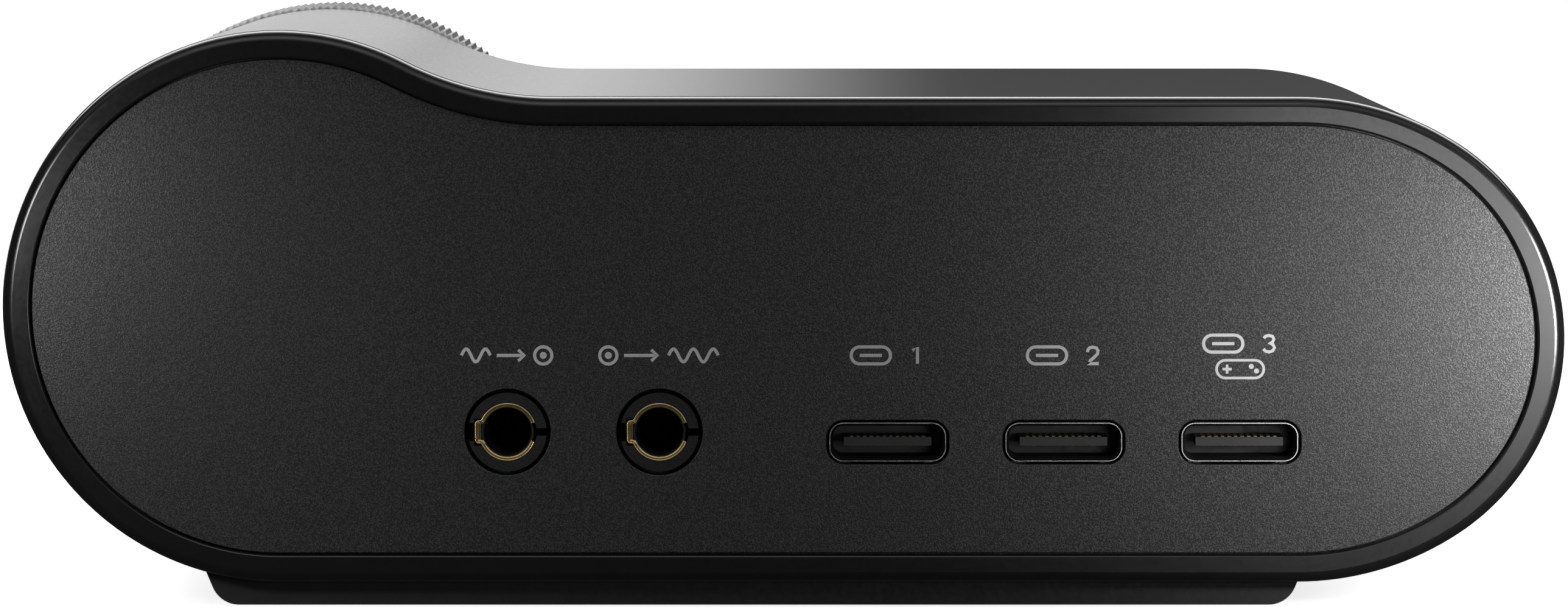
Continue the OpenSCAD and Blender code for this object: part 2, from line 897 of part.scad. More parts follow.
outer_sleeve();
rear_panel();
front_fascia();
foot_pad();
chassis_frame();
ballast_plate();
case_screws();
display_lens();
lens_gasket();
display_glass();
display_holder();
display_flex();
menu_button();
button_plunger();
button_switch();
control_board();
control_board_screws();
encoder_body();
encoder_bush();
encoder_washer();
encoder_nut();
encoder_shaft();
press_plunger();
press_disc();
dial_hub();
dial_ring();
dial_face();
main_board();
board_standoffs();
board_screws();
processor_chip();
codec_chip();
usb_hub_chip();
shield_can();
capacitors();
ribbon_sockets();
control_ribbon();
jack(jack_x);  // line_in_jack
jack_sleeve(jack_x);  // line_in_sleeve
jack_springs(jack_x);  // line_in_springs
jack(jack_x - jack_pitch);  // line_out_jack
jack_sleeve(jack_x - jack_pitch);  // line_out_sleeve
jack_springs(jack_x - jack_pitch);  // line_out_springs
usb_shell(0);  // usb_shell_1
usb_shell(1);  // usb_shell_2
usb_shell(2);  // usb_shell_3
usb_tongue(0);  // usb_tongue_1
usb_tongue(1);  // usb_tongue_2
usb_tongue(2);  // usb_tongue_3
usb_contacts(0);  // usb_contacts_1
usb_contacts(1);  // usb_contacts_2
usb_contacts(2);  // usb_contacts_3
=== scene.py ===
import json
import math

import bpy
import bmesh
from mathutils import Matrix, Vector
from mathutils.geometry import tessellate_polygon


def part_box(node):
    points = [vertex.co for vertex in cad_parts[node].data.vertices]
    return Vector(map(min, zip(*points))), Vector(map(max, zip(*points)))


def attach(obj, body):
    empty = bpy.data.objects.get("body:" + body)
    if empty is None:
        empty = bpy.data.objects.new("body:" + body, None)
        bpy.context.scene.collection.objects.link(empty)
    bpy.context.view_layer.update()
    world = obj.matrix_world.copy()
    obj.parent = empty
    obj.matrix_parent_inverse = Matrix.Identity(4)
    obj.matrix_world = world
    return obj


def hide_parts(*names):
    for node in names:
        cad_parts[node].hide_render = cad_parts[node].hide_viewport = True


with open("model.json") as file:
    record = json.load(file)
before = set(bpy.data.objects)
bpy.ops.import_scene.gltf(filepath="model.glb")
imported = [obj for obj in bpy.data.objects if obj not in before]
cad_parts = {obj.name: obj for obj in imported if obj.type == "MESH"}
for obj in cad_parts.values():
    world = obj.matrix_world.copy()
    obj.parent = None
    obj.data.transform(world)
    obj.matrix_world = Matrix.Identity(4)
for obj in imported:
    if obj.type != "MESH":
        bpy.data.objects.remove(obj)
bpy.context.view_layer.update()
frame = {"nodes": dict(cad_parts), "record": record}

MM = 0.001
TAU = 2 * math.pi


# ---------------------------------------------------------------- the case's driving dimensions, mm

def cad(node):
    """A CAD node's lowest and highest corners, in mm."""
    low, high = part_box(node)
    return Vector(low) / MM, Vector(high) / MM


SLEEVE_LOW, SLEEVE_HIGH = cad("outer_sleeve")
RING_LOW, RING_HIGH = cad("dial_ring")
LENS_LOW, LENS_HIGH = cad("display_lens")
FACE_LOW, FACE_HIGH = cad("dial_face")
BUTTON_LOW, BUTTON_HIGH = cad("menu_button")
FOOT_LOW, FOOT_HIGH = cad("foot_pad")

# the sleeve runs from FRONT_Y to BACK_Y, and the two panels' faces stand a little inside its rims
BACK_Y = SLEEVE_HIGH.y
FRONT_Y = SLEEVE_LOW.y
REAR_FACE_Y = cad("rear_panel")[1].y
FASCIA_FACE_Y = cad("front_fascia")[0].y
FOOT_H = SLEEVE_LOW.z

# the outline: a round bump that the dial shares its middle with, a sweep down to the flat top, then
# a shoulder of SHOULDER_R and a tighter tip of TIP_R at the other end
DIAL_R = (RING_HIGH.x - RING_LOW.x) / 2
DIAL_X = (RING_HIGH.x + RING_LOW.x) / 2
DIAL_Z = (RING_HIGH.z + RING_LOW.z) / 2
BUMP_R = DIAL_Z - FOOT_H
TOP_Z = 39.1
SWEEP_R = 25.0
TIP_R = 17.8
SHOULDER_R = 22.5
LEFT_X = SLEEVE_LOW.x
MID_Z = (FOOT_H + TOP_Z) / 2
HALF_H = (TOP_Z - FOOT_H) / 2
TIP_X = LEFT_X + TIP_R
SHOULDER_X = TIP_X + math.sqrt((SHOULDER_R - TIP_R) ** 2 - (SHOULDER_R - HALF_H) ** 2)
SWEEP_Z = TOP_Z + SWEEP_R
SWEEP_X = DIAL_X - math.sqrt((BUMP_R + SWEEP_R) ** 2 - (SWEEP_Z - DIAL_Z) ** 2)
SWEEP_ANGLE = math.atan2(SWEEP_Z - DIAL_Z, SWEEP_X - DIAL_X)
TIP_ANGLE = math.atan2(SHOULDER_R - HALF_H, TIP_X - SHOULDER_X)

# the sleeve's wall, the gap round each panel, and the panels' thickness and skirts
WALL = 2.1
EDGE_GAP = 0.12
PANEL_T = 2.0
SKIRT_T = 1.2
SKIRT_D = 4.0

# the sockets, the panel's holes for them, and the height of the marks over them
JACKS = {"line_in": cad("line_in_jack"), "line_out": cad("line_out_jack")}
JACK_Z = 13.43
JACK_HOLE_R = 3.3
JACK_BORE_R = 1.8
USBS = {i: cad(f"usb_shell_{i}") for i in (1, 2, 3)}
USB_Z = 12.65
USB_W, USB_H, USB_R = 9.0, 3.05, 1.1
USB_HOLE_W, USB_HOLE_H, USB_HOLE_R = 9.38, 3.39, 1.35
MARK_Z = 19.3

# the dial's ridges, and the foot pad's ends, corners and lean
RIDGES = 210
RIDGE_DEPTH = 0.24
FOOT_LEFT, FOOT_RIGHT = -38.87, 43.07
FOOT_CORNER_R = 2.2
FOOT_TILT = math.radians(22.8)


def middle_x(corners):
    return (corners[0].x + corners[1].x) / 2


def middle_z(corners):
    return (corners[0].z + corners[1].z) / 2


# ---------------------------------------------------------------- camera, floor, lights

CAMERA_REACH = 670
CAMERA_TILT = 3.075


def make_camera():
    """A long lens, well behind the rear rim and a little above it, looking slightly down."""
    data = bpy.data.cameras.new("camera")
    data.lens = 201.9
    data.sensor_width = 36
    data.clip_start = 0.05
    data.clip_end = 50
    camera = bpy.data.objects.new("camera", data)
    bpy.context.collection.objects.link(camera)
    camera.location = Vector((-0.215, BACK_Y + CAMERA_REACH, 59.3)) * MM
    camera.rotation_euler = (math.radians(90 - CAMERA_TILT), 0, math.radians(180))
    bpy.context.scene.camera = camera


def node_material(name):
    material = bpy.data.materials.new(name)
    material.use_nodes = True
    nodes = material.node_tree.nodes
    return material, nodes, material.node_tree.links, nodes["Principled BSDF"]


def make_floor():
    """A pale floor that throws no light back on to the dark object."""
    bpy.ops.mesh.primitive_plane_add(size=12, location=(0, 0, 0))
    floor = bpy.context.object
    floor.name = "floor"
    material, nodes, links, shader = node_material("floor_paper")
    grain = noise(nodes, links, 400, 2)
    tone = ramp(nodes, links, grain.outputs["Fac"], 0.88, 0.9)
    links.new(tone.outputs["Color"], shader.inputs["Base Color"])
    shader.inputs["Roughness"].default_value = 0.9
    shader.inputs["Specular IOR Level"].default_value = 0.0
    shader.inputs["Emission Color"].default_value = (1, 1, 1, 1)
    shader.inputs["Emission Strength"].default_value = 0.8
    floor.data.materials.append(material)
    floor.visible_diffuse = False
    floor.visible_glossy = False


def area_light(name, place, target, size, radiance, shape="RECTANGLE"):
    """A soft light, in mm, that points at the target. The camera doesn't see it."""
    data = bpy.data.lights.new(name, "AREA")
    data.shape = shape
    data.size, data.size_y = size[0] * MM, size[1] * MM
    area = size[0] * size[1] * MM * MM * (math.pi / 4 if shape == "ELLIPSE" else 1)
    data.energy = radiance * area * math.pi
    light = bpy.data.objects.new(name, data)
    bpy.context.collection.objects.link(light)
    light.location = Vector(place) * MM
    aim = Vector(target) * MM - light.location
    light.rotation_euler = aim.to_track_quat("-Z", "Y").to_euler()
    light.visible_camera = False


def spot_light(name, place, target, cone, watts):
    """A small soft spot, in mm, whose light fades smoothly to the edge of its cone."""
    data = bpy.data.lights.new(name, "SPOT")
    data.energy = watts
    data.spot_size = math.radians(cone)
    data.spot_blend = 1.0
    data.shadow_soft_size = 7 * MM
    light = bpy.data.objects.new(name, data)
    bpy.context.collection.objects.link(light)
    light.location = Vector(place) * MM
    aim = Vector(target) * MM - light.location
    light.rotation_euler = aim.to_track_quat("-Z", "Y").to_euler()
    light.visible_camera = False


def reflector(name, middle, width, height, stops):
    """An upright glowing card behind the object, whose light fades along X through the given stops."""
    verts = [(-width / 2, 0, 0), (width / 2, 0, 0), (width / 2, 0, height), (-width / 2, 0, height)]
    mesh = bpy.data.meshes.new(name)
    mesh.from_pydata([Vector(v) * MM for v in verts], [], [(0, 1, 2, 3)])
    card = bpy.data.objects.new(name, mesh)
    bpy.context.collection.objects.link(card)
    card.location = Vector(middle) * MM
    material = bpy.data.materials.new(name)
    material.use_nodes = True
    nodes, links = material.node_tree.nodes, material.node_tree.links
    nodes.clear()
    coords = nodes.new("ShaderNodeTexCoord")
    split = nodes.new("ShaderNodeSeparateXYZ")
    place = nodes.new("ShaderNodeMapRange")
    place.inputs["From Min"].default_value = -width / 2 * MM
    place.inputs["From Max"].default_value = width / 2 * MM
    fade = nodes.new("ShaderNodeValToRGB")
    fade.color_ramp.interpolation = "EASE"
    for i, (position, level) in enumerate(stops):
        spot = fade.color_ramp.elements[i] if i < 2 else fade.color_ramp.elements.new(position)
        spot.position = position
        spot.color = (level, level, level, 1)
    glow = nodes.new("ShaderNodeEmission")
    output = nodes.new("ShaderNodeOutputMaterial")
    links.new(coords.outputs["Object"], split.inputs["Vector"])
    links.new(split.outputs["X"], place.inputs["Value"])
    links.new(place.outputs["Result"], fade.inputs["Fac"])
    links.new(fade.outputs["Color"], glow.inputs["Color"])
    links.new(glow.outputs["Emission"], output.inputs["Surface"])
    mesh.materials.append(material)
    card.visible_camera = False
    card.visible_shadow = False


def make_lights():
    world = bpy.data.worlds.new("studio")
    world.use_nodes = True
    world.node_tree.nodes["Background"].inputs["Color"].default_value = (1, 1, 1, 1)
    world.node_tree.nodes["Background"].inputs["Strength"].default_value = 0.05
    bpy.context.scene.world = world
    area_light("overhead", (0, -900, 1500), (0, -900, 0), (2600, 1900), 1.5)
    spot_light("right_spot", (-80, 106, 24), (-61, 46, 24), 68, 0.3)
    area_light("right_soft", (-78, 250, 19), (-42, 46, 19), (64, 36), 5.6)
    spot_light("left_spot", (75, 108, 32), (50, 46, 20), 66, 0.06)
    area_light("camera_fill", (60, 520, 330), (0, 46, 20), (320, 260), 0.97)
    area_light("top_strip", (0, -150, 370), (0, 47, 40), (1000, 170), 7.5)
    area_light("rear_strip", (0, 300, 300), (0, 47, 20), (900, 200), 0.45)
    reflector("back_card", (120, -420, 40), 700, 130,
              [(0.293, 0.08), (1.0, 5.1), (0.373, 1.0), (0.56, 1.0)])


# ---------------------------------------------------------------- mesh helpers

def shade(mesh, angle=35):
    """Smooth shading, sharp over the angle and round every flat end that faces along Y."""
    for face in mesh.polygons:
        face.use_smooth = True
    mesh.set_sharp_from_angle(angle=math.radians(angle))
    flat = {}
    for face in mesh.polygons:
        for key in face.edge_keys:
            flat.setdefault(key, []).append(abs(face.normal.y) > 0.9999)
    for edge in mesh.edges:
        sides = flat.get(edge.key, [])
        if any(sides) and not all(sides):
            edge.use_edge_sharp = True


def piece(name, verts, faces, material, body="base", node=None, angle=35, weighted=True):
    """A new mesh object from points in mm, riding on a body and, if named, standing for a CAD node."""
    mesh = bpy.data.meshes.new(name)
    mesh.from_pydata([Vector(v) * MM for v in verts], [], faces)
    work = bmesh.new()
    work.from_mesh(mesh)
    bmesh.ops.remove_doubles(work, verts=work.verts, dist=1e-7)
    bmesh.ops.recalc_face_normals(work, faces=work.faces)
    work.to_mesh(mesh)
    work.free()
    shade(mesh, angle)
    obj = bpy.data.objects.new(name, mesh)
    bpy.context.collection.objects.link(obj)
    mesh.materials.append(material)
    if weighted:
        smooth = obj.modifiers.new("even_normals", "WEIGHTED_NORMAL")
        smooth.keep_sharp = True
        smooth.weight = 60
    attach(obj, body)
    if node:
        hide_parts(*([node] if isinstance(node, str) else node))
    return obj


def arc(x, z, r, a0, a1, step=2.0):
    """Points along an arc, angles in radians, one every step degrees."""
    count = max(2, math.ceil(abs(math.degrees(a1 - a0)) / step))
    out = []
    for i in range(count + 1):
        a = a0 + (a1 - a0) * i / count
        out.append((x + r * math.cos(a), z + r * math.sin(a)))
    return out


def outline(inset, step=2.0):
    """The case's outline, drawn in by the inset: as many points whatever the inset."""
    quarter = math.pi / 2
    points = arc(DIAL_X, DIAL_Z, BUMP_R - inset, -quarter, SWEEP_ANGLE, step)
    points += arc(SWEEP_X, SWEEP_Z, SWEEP_R + inset, SWEEP_ANGLE - math.pi, -quarter, step)
    points += arc(SHOULDER_X, TOP_Z - SHOULDER_R, SHOULDER_R - inset, quarter, TIP_ANGLE, step)
    points += arc(TIP_X, MID_Z, TIP_R - inset, TIP_ANGLE, TAU - TIP_ANGLE, step)[1:]
    points += arc(SHOULDER_X, FOOT_H + SHOULDER_R, SHOULDER_R - inset, TAU - TIP_ANGLE, 3 * quarter, step)[1:]
    return points


def circle(x, z, r, count=96):
    return [(x + r * math.cos(TAU * i / count), z + r * math.sin(TAU * i / count)) for i in range(count)]


def rounded_rect(x, z, w, h, r, steps=8):
    points = []
    for k, (sx, sz) in enumerate(((1, 1), (-1, 1), (-1, -1), (1, -1))):
        cx, cz = x + sx * (w / 2 - r), z + sz * (h / 2 - r)
        for i in range(steps + 1):
            a = (k + i / steps) * math.pi / 2
            points.append((cx + r * math.cos(a), cz + r * math.sin(a)))
    return points


def rings_to_mesh(rings, closed_section):
    """Quads between rings of equal length; a closed section joins the last ring to the first."""
    count = len(rings[0])
    verts = [v for ring in rings for v in ring]
    faces = []
    last = len(rings) if closed_section else len(rings) - 1
    for j in range(last):
        k = (j + 1) % len(rings)
        for i in range(count):
            n = (i + 1) % count
            faces.append((j * count + i, j * count + n, k * count + n, k * count + i))
    return verts, faces


def quarter_round(r, steps=5):
    """Depth below the face and distance in from the side, round a convex edge from face to side."""
    return [(r * (1 - math.cos(a)), r * (1 - math.sin(a))) for a in
            (math.pi / 2 * i / steps for i in range(steps + 1))]


def plate(loops, y_face, y_back, edge, back_edge=0.0, steps=4, skirt=None):
    """A plate in X and Z from y_face to y_back. Each loop is a function of how far its edge is drawn
    into the material; the first is the outline and the rest are holes. Edges are rounded. A skirt,
    of a given thickness and depth, runs on behind the outline, and fits the sleeve closely."""
    away = 1 if y_back > y_face else -1
    front = [(y_face + away * depth, inset) for depth, inset in quarter_round(edge, steps)]
    if back_edge:
        back = [(y_back - away * depth, inset) for depth, inset in quarter_round(back_edge, steps)][::-1]
    else:
        back = [(y_back, 0.0)]
    verts, faces = [], []
    caps = ([], [])
    for number, loop in enumerate(loops):
        section = front + back
        if skirt and number == 0:
            end = y_back + away * skirt[1]
            stop = y_face + away * 0.9
            section = front + [(stop, 0.0), (stop, -0.1), (end, -0.1), (end, skirt[0]), (y_back, skirt[0])]
        base = len(verts)
        rings = [[(x, y, z) for x, z in loop(inset)] for y, inset in section]
        ring_verts, ring_faces = rings_to_mesh(rings, False)
        count = len(rings[0])
        verts += ring_verts
        faces += [tuple(base + i for i in face) for face in ring_faces]
        for cap, j in ((caps[0], 0), (caps[1], len(section) - 1)):
            cap.append([base + j * count + i for i in range(count)])
    for cap in caps:
        order = [i for ring in cap for i in ring]
        flat = [[Vector((verts[i][0], verts[i][2], 0)) for i in ring] for ring in cap]
        faces += [tuple(order[i] for i in tri) for tri in tessellate_polygon(flat)]
    return verts, faces


def strip(path, section, closed=False):
    """A section of (offset to the left, y) points carried along a path in X and Z."""
    count = len(path)
    rings = []
    for i, (x, z) in enumerate(path):
        before = path[i - 1] if closed or i > 0 else path[i]
        after = path[(i + 1) % count] if closed or i < count - 1 else path[i]
        along = Vector((after[0] - before[0], after[1] - before[1])).normalized()
        rings.append([(x - along.y * offset, y, z + along.x * offset) for offset, y in section])
    verts, faces = rings_to_mesh(rings, closed)
    if not closed:
        width = len(section)
        faces.append(tuple(range(width))[::-1])
        faces.append(tuple(len(verts) - width + i for i in range(width)))
    return verts, faces


def soften(path, rounds=2):
    """Cuts a path's corners, keeping its ends."""
    for _ in range(rounds):
        out = [path[0]]
        for (ax, az), (bx, bz) in zip(path, path[1:]):
            out.append((ax * 0.75 + bx * 0.25, az * 0.75 + bz * 0.25))
            out.append((ax * 0.25 + bx * 0.75, az * 0.25 + bz * 0.75))
        out.append(path[-1])
        path = out
    return path


def merge(parts):
    """Several (verts, faces) pairs as one."""
    verts, faces = [], []
    for more_verts, more_faces in parts:
        base = len(verts)
        verts += more_verts
        faces += [tuple(base + i for i in face) for face in more_faces]
    return verts, faces


def block(low, high):
    """A plain box between two corners, for small parts that get a bevel."""
    verts = [(x, y, z) for x in (low[0], high[0]) for y in (low[1], high[1]) for z in (low[2], high[2])]
    faces = [(0, 1, 3, 2), (4, 6, 7, 5), (0, 4, 5, 1), (2, 3, 7, 6), (0, 2, 6, 4), (1, 5, 7, 3)]
    return verts, faces


def bevel(obj, width, segments=3, angle=30):
    """Rounds an object's sharp edges, before any evening of its normals."""
    edge = obj.modifiers.new("edge_round", "BEVEL")
    edge.width = width * MM
    edge.segments = segments
    edge.limit_method = "ANGLE"
    edge.angle_limit = math.radians(angle)
    edge.use_clamp_overlap = True
    edge.harden_normals = True
    return obj


def lathe(x, z, section, count=128, closed=True):
    """A section of (radius, y) points turned about the Y axis through x, z."""
    rings = [[(px, y, pz) for px, pz in circle(x, z, r, count)] for r, y in section]
    return rings_to_mesh(rings, closed)


def disc_lathe(x, z, section, count=128):
    """As lathe, for a solid whose section starts and ends on the axis: the ends are closed by fans."""
    verts, faces = lathe(x, z, section[1:-1], count, closed=False)
    for (r, y), first in ((section[0], 0), (section[-1], len(verts) - count)):
        verts.append((x, y, z))
        tip = len(verts) - 1
        faces += [(first + i, first + (i + 1) % count, tip) for i in range(count)]
    return verts, faces


# ---------------------------------------------------------------- materials

def noise(nodes, links, scale, detail=3.0, rough=0.5):
    coords = nodes.new("ShaderNodeTexCoord")
    texture = nodes.new("ShaderNodeTexNoise")
    texture.inputs["Scale"].default_value = scale
    texture.inputs["Detail"].default_value = detail
    texture.inputs["Roughness"].default_value = rough
    links.new(coords.outputs["Object"], texture.inputs["Vector"])
    return texture


def ramp(nodes, links, source, low, high, start=0.3, end=0.7):
    """A colour ramp between two greys or colours."""
    stops = nodes.new("ShaderNodeValToRGB")
    stops.color_ramp.elements[0].position = start
    stops.color_ramp.elements[1].position = end
    stops.color_ramp.elements[0].color = (*low, 1) if isinstance(low, tuple) else (low, low, low, 1)
    stops.color_ramp.elements[1].color = (*high, 1) if isinstance(high, tuple) else (high, high, high, 1)
    links.new(source, stops.inputs["Fac"])
    return stops


def bump(nodes, links, source, shader, strength, distance):
    node = nodes.new("ShaderNodeBump")
    node.inputs["Strength"].default_value = strength
    node.inputs["Distance"].default_value = distance
    links.new(source, node.inputs["Height"])
    links.new(node.outputs["Normal"], shader.inputs["Normal"])


def finish(name, low, high, rough, metallic=0.0, scale=900, grain=0.15, depth=0.00002, coat=0.0,
           specular=0.5, rough_spread=0.06):
    """A procedural surface: a colour that wanders between low and high, with a fine grain."""
    material, nodes, links, shader = node_material(name)
    patches = noise(nodes, links, scale * 0.12, 4)
    tone = ramp(nodes, links, patches.outputs["Fac"], low, high)
    links.new(tone.outputs["Color"], shader.inputs["Base Color"])
    fine = noise(nodes, links, scale, 2)
    gloss = ramp(nodes, links, fine.outputs["Fac"], rough - rough_spread, rough + rough_spread)
    links.new(gloss.outputs["Color"], shader.inputs["Roughness"])
    bump(nodes, links, fine.outputs["Fac"], shader, grain, depth)
    shader.inputs["Metallic"].default_value = metallic
    shader.inputs["Coat Weight"].default_value = coat
    shader.inputs["Specular IOR Level"].default_value = specular
    return material


def sparkle_paint():
    """Dark panel paint with fine bright flecks."""
    material, nodes, links, shader = node_material("panel_paint")
    flecks = noise(nodes, links, 11000, 1, 0.4)
    tone = ramp(nodes, links, flecks.outputs["Fac"], 0.012, 0.085, 0.42, 0.72)
    links.new(tone.outputs["Color"], shader.inputs["Base Color"])
    gloss = ramp(nodes, links, flecks.outputs["Fac"], 0.42, 0.3, 0.4, 0.7)
    links.new(gloss.outputs["Color"], shader.inputs["Roughness"])
    bump(nodes, links, flecks.outputs["Fac"], shader, 0.34, 0.00004)
    shader.inputs["Metallic"].default_value = 0.25
    return material


def make_materials():
    return {
        "case_paint": finish("case_paint", 0.007, 0.009, 0.2, scale=3500, grain=0.06, depth=0.00001,
                             rough_spread=0.02),
        "panel_paint": sparkle_paint(),
        "fascia_black": finish("fascia_black", 0.012, 0.016, 0.42, scale=3000, grain=0.12),
        "dark_lens": finish("dark_lens", 0.003, 0.004, 0.06, scale=200, grain=0.01, coat=0.6,
                            rough_spread=0.02),
        "display_glass": finish("display_glass", (0.006, 0.008, 0.014), (0.01, 0.012, 0.02), 0.1, scale=300,
                                rough_spread=0.02),
        "foot_rubber": finish("foot_rubber", 0.006, 0.010, 0.62, scale=2600, grain=0.3),
        "inner_plastic": finish("inner_plastic", 0.045, 0.06, 0.5, scale=1800, grain=0.2),
        "button_plastic": finish("button_plastic", 0.10, 0.13, 0.38, scale=2400, grain=0.15),
        "switch_tip": finish("switch_tip", (0.36, 0.22, 0.06), (0.45, 0.29, 0.09), 0.4, scale=2000),
        "black_moulding": finish("black_moulding", 0.006, 0.011, 0.55, scale=5200, grain=0.9, depth=0.00005,
                                 specular=0.34),
        "tongue_plastic": finish("tongue_plastic", 0.015, 0.021, 0.42, scale=2600, grain=0.2),
        "dial_metal": finish("dial_metal", 0.29, 0.34, 0.36, metallic=1.0, scale=2600, grain=0.12),
        "plated_steel": finish("plated_steel", 0.62, 0.70, 0.24, metallic=1.0, scale=1800, grain=0.05),
        "gold_plate": finish("gold_plate", (0.92, 0.66, 0.32), (0.98, 0.76, 0.42), 0.27, metallic=1.0,
                             scale=2200, grain=0.06),
        "brass_bar": finish("brass_bar", (0.62, 0.44, 0.18), (0.70, 0.52, 0.24), 0.3, metallic=1.0,
                            scale=1500),
        "white_moulding": finish("white_moulding", (0.66, 0.64, 0.57), (0.74, 0.72, 0.66), 0.45, scale=2000),
        "circuit_board": finish("circuit_board", (0.004, 0.022, 0.014), (0.006, 0.034, 0.02), 0.3, scale=1200,
                                coat=0.3),
        "amber_film": finish("amber_film", (0.40, 0.17, 0.03), (0.50, 0.24, 0.05), 0.28, scale=900),
        "can_sleeve": finish("can_sleeve", 0.55, 0.64, 0.3, metallic=0.9, scale=1600),
        "dial_face": finish("dial_face", 0.02, 0.028, 0.32, scale=2600, grain=0.1, coat=0.1),
        # gold contacts given a dull dark brown: painted shade for contacts that sit deep inside the sockets
        "shade_darkened_contacts": finish("shade_darkened_contacts", (0.17, 0.14, 0.09), (0.22, 0.18, 0.12), 0.45,
                                  metallic=1.0, scale=2200),
        "ink": finish("ink", 0.58, 0.64, 0.55, scale=5000, grain=0.1),
    }


def dress_cad_nodes(materials):
    """Gives each CAD node the procedural material of its slot."""
    for row in frame["record"]["subparts"]:
        obj = frame["nodes"][row["node"]]
        if isinstance(obj, str):
            obj = bpy.data.objects[obj]
        obj.data.materials.clear()
        # contact nodes get the darkened gold, which is painted shade, instead of their slot's material
        finish_name = "shade_darkened_contacts" if "contacts" in row["node"] else row["material_slot"]
        obj.data.materials.append(materials[finish_name])


# ---------------------------------------------------------------- outside pieces

def sleeve_skin(materials):
    """The one-piece sleeve, with a wide round on the rim's outer edge and a small one inside."""
    outer, inner = 0.8, 0.16
    section = [(inset, BACK_Y - depth) for depth, inset in quarter_round(outer, 8)][::-1]
    section += [(WALL - inset, BACK_Y - depth) for depth, inset in quarter_round(inner, 4)]
    section += [(WALL - inset, FRONT_Y + depth) for depth, inset in quarter_round(inner, 4)][::-1]
    section += [(inset, FRONT_Y + depth) for depth, inset in quarter_round(outer, 8)]
    rings = [[(x, y, z) for x, z in outline(inset)] for inset, y in section]
    verts, faces = rings_to_mesh(rings, True)
    piece("sleeve_skin", verts, faces, materials["case_paint"], node="outer_sleeve")


def panel_loops():
    inset = WALL + EDGE_GAP
    loops = [lambda d: outline(inset + d)]
    for corners in JACKS.values():
        x = middle_x(corners)
        loops.append(lambda d, x=x: circle(x, JACK_Z, JACK_HOLE_R + d))
    w, h, r = USB_HOLE_W, USB_HOLE_H, USB_HOLE_R
    for corners in USBS.values():
        x = middle_x(corners)
        loops.append(lambda d, x=x: rounded_rect(x, USB_Z, w + 2 * d, h + 2 * d, r + d))
    return loops


def panel_plate(materials):
    verts, faces = plate(panel_loops(), REAR_FACE_Y, REAR_FACE_Y - PANEL_T, 0.06, steps=3,
                         skirt=(SKIRT_T, SKIRT_D))
    piece("panel_plate", verts, faces, materials["panel_paint"], node="rear_panel")


def dial_knurl(materials):
    """The dial's metal ring: ridges with a V between them, bevelled at both ends."""
    back, front = RING_HIGH.y, RING_LOW.y
    lands = [(0.0, 1.0), (0.07, 1.0), (0.5, 0.0), (0.57, 0.0)]
    section = [
        (-1.3, back - 0.15, 0.0, 0.0), (-0.75, back, 0.0, 0.0), (-0.34, back, 0.0, 0.0),
        (-0.3, back - 0.02, 0.0, 0.0), (0.0, back - 0.29, 1.0, -0.216), (0.0, front + 0.5, 1.0, 0.3),
        (-0.5, front + 0.08, 0.0, 0.0), (-0.62, front, 0.0, 0.0), (-0.95, front, 0.0, 0.0),
    ]
    rings = []
    for drop, y, share, lean in section:
        ring = []
        for k in range(RIDGES):
            for t, height in lands:
                angle = TAU * (k + t) / RIDGES
                r = DIAL_R - RIDGE_DEPTH + drop + share * RIDGE_DEPTH * height
                ring.append((DIAL_X + r * math.cos(angle), y + lean * height, DIAL_Z + r * math.sin(angle)))
        rings.append(ring)
    seat = [(18.72, front), (18.6, front + 0.12), (18.6, front + 1.6), (19.4, front + 1.6),
            (19.4, back - 0.15)]
    for r, y in seat:
        rings.append([(x, y, z) for x, z in circle(DIAL_X, DIAL_Z, r, len(rings[0]))])
    verts, faces = rings_to_mesh(rings, True)
    piece("dial_knurl", verts, faces, materials["dial_metal"], body="dial", node="dial_ring",
          angle=30)


def fascia_plate(materials):
    """The front panel, with a recess for the lens and holes for the dial's bush and the button."""
    lens_x, lens_z = middle_x((LENS_LOW, LENS_HIGH)), middle_z((LENS_LOW, LENS_HIGH))
    lens_w, lens_h = LENS_HIGH.x - LENS_LOW.x, LENS_HIGH.z - LENS_LOW.z
    button_x, button_z = middle_x((BUTTON_LOW, BUTTON_HIGH)), middle_z((BUTTON_LOW, BUTTON_HIGH))
    loops = [
        lambda d: outline(WALL + EDGE_GAP + d),
        lambda d: rounded_rect(lens_x, lens_z, lens_w + 0.2 + 2 * d, lens_h + 0.2 + 2 * d, 3.1 + d),
        lambda d: circle(DIAL_X, DIAL_Z, 3.6 + d, 64),
        lambda d: circle(button_x, button_z, 2.88 + d, 64),
    ]
    front = plate(loops, FASCIA_FACE_Y, FASCIA_FACE_Y + PANEL_T, 0.12, steps=3, skirt=(SKIRT_T, SKIRT_D))
    ledge = strip(rounded_rect(lens_x, lens_z, lens_w - 1.35, lens_h - 1.35, 2.3),
                  [(0.75, LENS_HIGH.y + 0.02), (-0.7, LENS_HIGH.y + 0.02), (-0.7, FASCIA_FACE_Y + PANEL_T),
                   (0.75, FASCIA_FACE_Y + PANEL_T)], closed=True)
    verts, faces = merge([front, ledge])
    piece("fascia_plate", verts, faces, materials["fascia_black"], node="front_fascia")


def lens_plate(materials):
    x, z = middle_x((LENS_LOW, LENS_HIGH)), middle_z((LENS_LOW, LENS_HIGH))
    w, h = LENS_HIGH.x - LENS_LOW.x, LENS_HIGH.z - LENS_LOW.z
    loops = [lambda d: rounded_rect(x, z, w - 2 * d, h - 2 * d, 3.0 - d, 12)]
    verts, faces = plate(loops, LENS_LOW.y, LENS_HIGH.y, 0.2, 0.05, steps=5)
    piece("lens_plate", verts, faces, materials["dark_lens"], node="display_lens")


